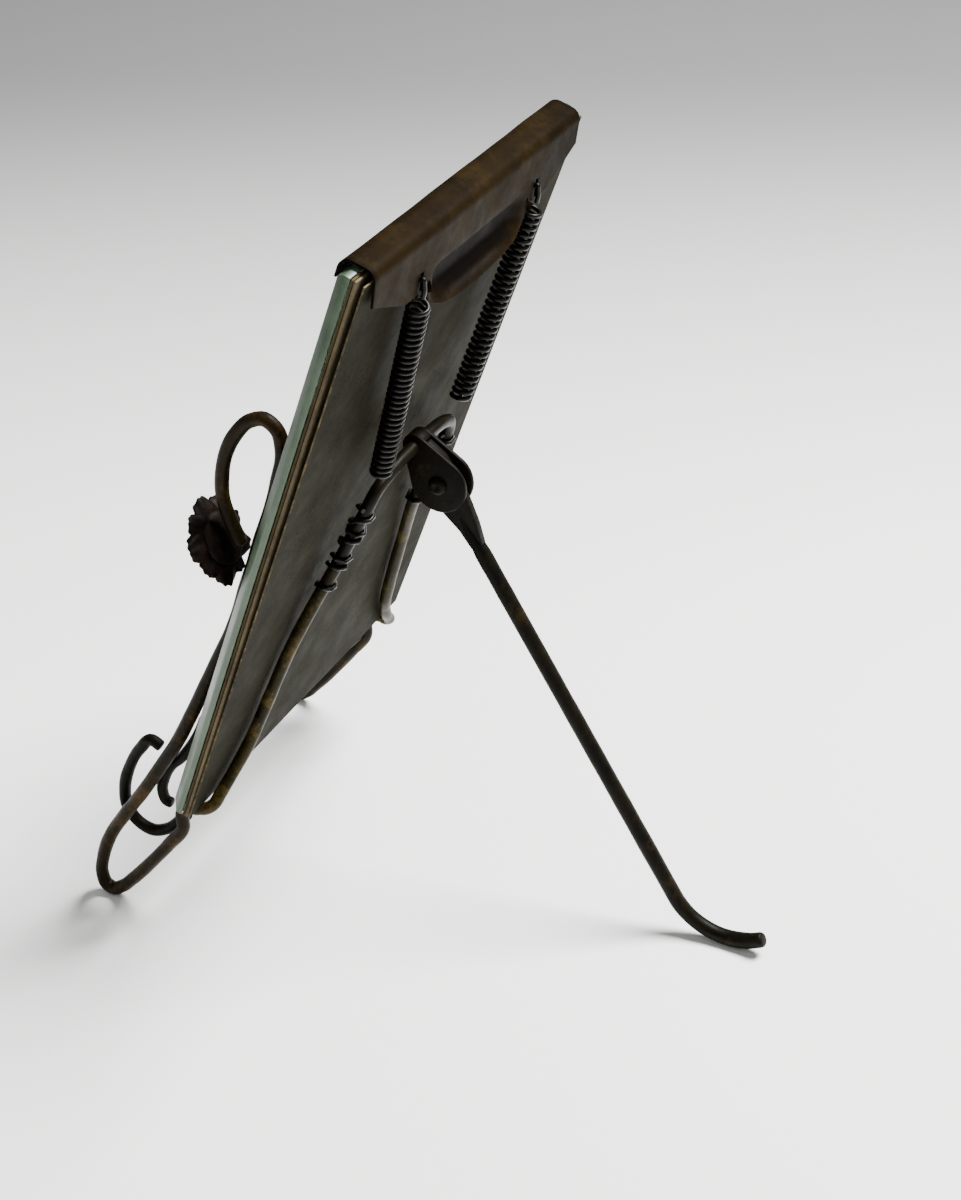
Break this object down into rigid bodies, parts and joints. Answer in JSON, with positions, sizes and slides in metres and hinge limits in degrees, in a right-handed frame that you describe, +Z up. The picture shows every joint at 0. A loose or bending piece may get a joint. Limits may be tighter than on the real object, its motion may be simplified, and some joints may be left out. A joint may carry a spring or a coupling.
{
  "type": "photo easel stand",
  "caption": "Leaning photo stand of bent ironwork holding a bevelled glass plate and a backed photo card, with a sprung top clip and a folding rear leg.",
  "frame": {"origin": "centre of the bounding box, on the table plane", "axes": "+Z up from the table; the glass faces -Y and leans back towards +Y; +X is the right-hand side seen from behind the stand's left, along the glass's bottom edge"},
  "size_m": [0.105, 0.1558, 0.1809],
  "materials": {
    "green_glass": "clear plate glass with a green edge",
    "brown_card": "dark brown mount card, matt",
    "cream_card": "cream pasteboard, matt",
    "grey_tin": "grey speckled tinplate, slightly glossy",
    "bronzed_sheet": "bronze-brown sheet with patina",
    "aged_brass_rod": "aged golden rod",
    "dark_bronzed_iron": "near-black bronzed iron with rubbed spots",
    "spring_wire": "dark steel wire"
  },
  "bodies": {
    "stand": {"glass_plate": "green_glass", "photo_card": "brown_card", "backing_card": "cream_card", "back_plate": "grey_tin", "back_rod": "aged_brass_rod", "hinge_yoke": "dark_bronzed_iron", "rivet": "dark_bronzed_iron", "front_scroll_left": "dark_bronzed_iron", "front_scroll_right": "dark_bronzed_iron", "cradle_scroll_left": "dark_bronzed_iron", "cradle_scroll_right": "dark_bronzed_iron", "glass_hook_left": "dark_bronzed_iron", "glass_hook_right": "dark_bronzed_iron", "rosette_left": "dark_bronzed_iron", "rosette_right": "dark_bronzed_iron", "spring_left": "spring_wire", "spring_right": "spring_wire", "spring_tail_left": "spring_wire", "spring_tail_right": "spring_wire"},
    "clip": {"top_clip": "bronzed_sheet", "spring_hook_left": "spring_wire", "spring_hook_right": "spring_wire"},
    "leg": {"leg": "dark_bronzed_iron"}
  },
  "joints": [
    {"name": "leg_fold", "type": "hinge", "parent": "stand", "child": "leg", "pos_m": [0, -0.00579, 0.10759], "axis": [-1, 0, 0], "range_deg": [0, 50]},
    {"name": "clip_lift", "type": "slide", "parent": "stand", "child": "clip", "axis": [0, 0.3256, 0.9455], "range_m": [0, 0.012], "stiffness_N_per_m": 300, "springref_m": -0.012, "deforming": ["spring_left", "spring_right"]}
  ]
}
